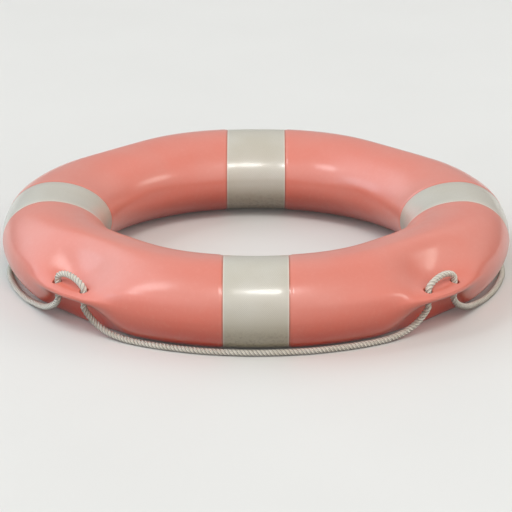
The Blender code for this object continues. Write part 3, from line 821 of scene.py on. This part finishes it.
def flared_hole(shell, place):
    """What a fin's hole takes away: a bar that widens in a quarter round at each face of the fin."""
    rounds = [i * math.pi / 2 / FLARE_STEPS for i in range(FLARE_STEPS + 1)]
    low = [(HOLE_RADIUS + HOLE_FLARE * (1 - math.sin(t)), FIN_UNDER_Z + HOLE_FLARE * (1 - math.cos(t)))
           for t in rounds]
    high = [(radius, FIN_TOP_Z + FIN_UNDER_Z - height) for radius, height in reversed(low)]
    profile = [(low[0][0], low[0][1] - FIN_PLATE), *low, *high, (high[-1][0], high[-1][1] + FIN_PLATE)]
    cutter = turned("hole_cutter", profile, place, HOLE_SIDES)
    for vertex in cutter.data.vertices:
        upper = vertex.co.z > (FIN_TOP_Z + FIN_UNDER_Z) / 2
        height = surface_height(shell, vertex.co, upper)
        vertex.co.z += height - (FIN_TOP_Z if upper else FIN_UNDER_Z)
    return cutter


def hole_cutters(shell):
    """The two holes of one fin, and turned copies of both for the other fins."""
    places = [fin_matrix(0) @ Vector((side * HOLE_PITCH / 2, HOLE_RADIAL, 0)) for side in (-1, 1)]
    pair = [flared_hole(shell, place) for place in places]
    copies = [turned_copy(cutter, fin * math.pi / 2, "hole_cutter")
              for cutter in pair for fin in range(1, FIN_COUNT)]
    return pair + copies


def seat_cutter():
    """What the plug's seat and bore take away from the shell's flat underside."""
    rim, bore = PLUG_HEAD_RADIUS + PLUG_GAP, PLUG_STEM_RADIUS + PLUG_GAP
    lead_in = [(rim + widening, height) for widening, height in SEAT_LEAD_IN]
    profile = (*lead_in, (rim, PLUG_SEAT_Z), (bore, PLUG_SEAT_Z), (bore, PLUG_TOP_Z + PLUG_GAP))
    return turned("seat_cutter", profile, plug_place(), HOLE_SIDES)


def add_shell(material):
    """The moulded skin: a torus through the sections, with the line's holes and the plug's seat cut out."""
    rings = []
    for quarter in range(FIN_COUNT):
        for azimuth, depth in shell_stations():
            section = section_at(azimuth, depth)
            rings.append([ring_point(offset, azimuth, quarter * math.pi / 2) for offset in section])
    shell = torus_through(rings, CREST_RADIUS, MIDDLE_Z)
    for cutter in [*hole_cutters(shell), seat_cutter()]:
        apply_modifier(shell, "BOOLEAN", object=cutter, operation="DIFFERENCE", solver="MANIFOLD")
        bpy.data.objects.remove(cutter)
    finish_piece(shell, "moulded_shell", material)
    apply_modifier(shell, "WEIGHTED_NORMAL", keep_sharp=True, weight=80)
    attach(shell, "ring")
    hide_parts("outer_shell")


def plug_place():
    """The plug's middle in the underside."""
    return Vector((CREST_RADIUS * math.sin(PLUG_AZIMUTH), CREST_RADIUS * math.cos(PLUG_AZIMUTH), 0))


def add_plug(material):
    """The plug pressed into the filling hole: a dished head with a rounded rim, and a stem."""
    profile = [(PLUG_HEAD_RADIUS - inwards, height) for inwards, height in PLUG_HEAD]
    profile += [(PLUG_STEM_RADIUS - inwards, height) for inwards, height in PLUG_STEM]
    plug = finish_piece(turned("fill_plug", profile, plug_place(), PLUG_SIDES), "pressed_plug", material)
    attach(plug, "ring")
    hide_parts("fill_plug")


def first_band():
    """The front film band with rounded edges, closed round the section, with its cells' coordinates."""
    half = BAND_WIDTH / 2
    edge = [(inwards * BAND_EDGE_RADIUS - half, depth) for inwards, depth in BAND_EDGE]
    spans = [half * i / BAND_STEPS for i in range(1 - BAND_STEPS, BAND_STEPS)]
    across = edge + [(x, 0.0) for x in spans] + [(-x, depth) for x, depth in reversed(edge)]
    profile = [(x, BAND_SINK + depth * BAND_THICKNESS) for x, depth in across]
    profile += [(x, BAND_SINK + BAND_THICKNESS) for x in (half, *reversed(spans), -half)]
    columns = []
    for x, inset in profile:
        azimuth = math.asin(x / CREST_RADIUS)
        columns.append([ring_point(offset, azimuth, 0) for offset in section_at(azimuth, inset)])
    rings = list(zip(*columns))
    band = torus_through(rings, MIDDLE_Z, BAND_THICKNESS, (0, -CREST_RADIUS, MIDDLE_Z))
    measured = len(edge) + 1
    around = [0.0]
    for before, after in zip(rings, rings[1:] + rings[:1]):
        around.append(around[-1] + (after[measured] - before[measured]).length)
    uv = band.data.uv_layers[0].data
    for face in band.data.polygons:
        turns_here = [vertex // len(profile) for vertex in face.vertices]
        closing = max(turns_here) - min(turns_here) > 1
        for loop, turn in zip(face.loop_indices, turns_here):
            column = band.data.loops[loop].vertex_index % len(profile)
            turn = len(rings) if closing and turn == 0 else turn
            uv[loop].uv = (profile[column][0], around[turn])
    return band


def add_bands(material):
    """Four films, copied from one, in their recesses."""
    first = first_band()
    for i, (side, _) in enumerate(STRETCHES):
        band = turned_copy(first, i * math.pi / 2, f"film_{side}")
        finish_piece(band, f"film_{side}", material)
        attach(band, "ring")
        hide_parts(f"band_{side}")
    bpy.data.objects.remove(first)


# Room
def towards(azimuth, elevation):
    """A direction from the ring; azimuth 0 is over the camera and positive ones are to the right."""
    azimuth, elevation = math.radians(azimuth), math.radians(elevation)
    return Vector((math.sin(azimuth) * math.cos(elevation), -math.cos(azimuth) * math.cos(elevation),
                   math.sin(elevation)))


def add_light(name, azimuth, elevation, width, height, power, colour):
    """An oval area lamp that looks at the ring."""
    away = towards(azimuth, elevation)
    data = bpy.data.lights.new(name, "AREA")
    data.shape = "ELLIPSE"
    data.size = 2 * LAMP_DISTANCE * math.tan(math.radians(width) / 2)
    data.size_y = 2 * LAMP_DISTANCE * math.tan(math.radians(height) / 2)
    data.energy = power
    data.color = colour
    lamp = bpy.data.objects.new(name, data)
    lamp.location = Vector((0, 0, MIDDLE_Z)) + away * LAMP_DISTANCE
    lamp.rotation_euler = (-away).to_track_quat("-Z", "Y").to_euler()
    bpy.context.scene.collection.objects.link(lamp)


def pale_floor():
    """Pale where the camera, a gloss or a clear piece sees it, darker for the light that it throws back."""
    m = Material("pale_floor", Roughness=0.6)
    greyer = (0.72, 0.71, 0.69, 1)
    paler = (0.76, 0.75, 0.73, 1)
    thrown_back = (0.16, 0.15, 0.14, 1)
    rays = m.add("ShaderNodeLightPath").outputs
    through = m.math("MAXIMUM", rays["Is Glossy Ray"], rays["Is Transmission Ray"])
    seen = m.math("MAXIMUM", rays["Is Camera Ray"], through)
    pale = m.mixed(m.noise(3, 2), greyer, paler)
    m.set("Base Color", m.mixed(seen, thrown_back, pale))
    m.set("Emission Color", pale)
    m.set("Emission Strength", m.math("MULTIPLY", seen, FLOOR_GLOW))
    return m.data


def add_world(plain, glows):
    """An even light with soft glows in it, as from the walls of a bright room."""
    world = bpy.data.worlds.new("room")
    world.use_nodes = True
    tree = world.node_tree
    direction = tree.nodes.new("ShaderNodeTexCoord").outputs["Generated"]
    total = None
    for azimuth, elevation, half_width, strength, colour in glows:
        facing = tree.nodes.new("ShaderNodeVectorMath")
        facing.operation = "DOT_PRODUCT"
        tree.links.new(direction, facing.inputs[0])
        facing.inputs[1].default_value = towards(azimuth, elevation)
        amount = tree.nodes.new("ShaderNodeMapRange")
        amount.interpolation_type = "SMOOTHSTEP"
        tree.links.new(facing.outputs["Value"], amount.inputs["Value"])
        amount.inputs["From Min"].default_value = math.cos(math.radians(half_width))
        amount.inputs["To Max"].default_value = strength
        tinted = tree.nodes.new("ShaderNodeVectorMath")
        tinted.operation = "MULTIPLY_ADD"
        tinted.inputs[0].default_value = colour
        tree.links.new(amount.outputs["Result"], tinted.inputs[1])
        tinted.inputs[2].default_value = plain
        if total:
            tree.links.new(total, tinted.inputs[2])
        total = tinted.outputs["Vector"]
    tree.links.new(total, tree.nodes["Background"].inputs["Color"])
    bpy.context.scene.world = world


def add_room():
    """The floor, the world's light and the lamps."""
    bpy.ops.object.select_all(action="DESELECT")
    bpy.ops.mesh.primitive_plane_add(size=FLOOR_SIZE, location=(0, 0, -FLOOR_DROP))
    floor = bpy.context.object
    floor.name = "floor"
    floor.data.materials.append(pale_floor())
    add_world(ROOM_LIGHT, ROOM_GLOWS)
    for lamp in LAMPS:
        add_light(*lamp)


def main():
    bpy.context.scene.view_settings.view_transform = "Standard"
    add_camera()
    line, tube = laid_line(), shrink_tube()
    total = sum(add_stretch(i, line, tube) for i in range(FIN_COUNT))
    total += sum(add_bight(fin, corner, line) for fin, corner in enumerate(CORNERS))
    print(f"line, end to end: {total:.3f} m")
    coral, film = coral_plastic(), band_film()
    add_shell(coral)
    add_plug(coral)
    add_bands(film)
    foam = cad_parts["foam_core"].material_slots[0]
    foam.link = "OBJECT"
    foam.material = rigid_foam()
    add_room()


main()
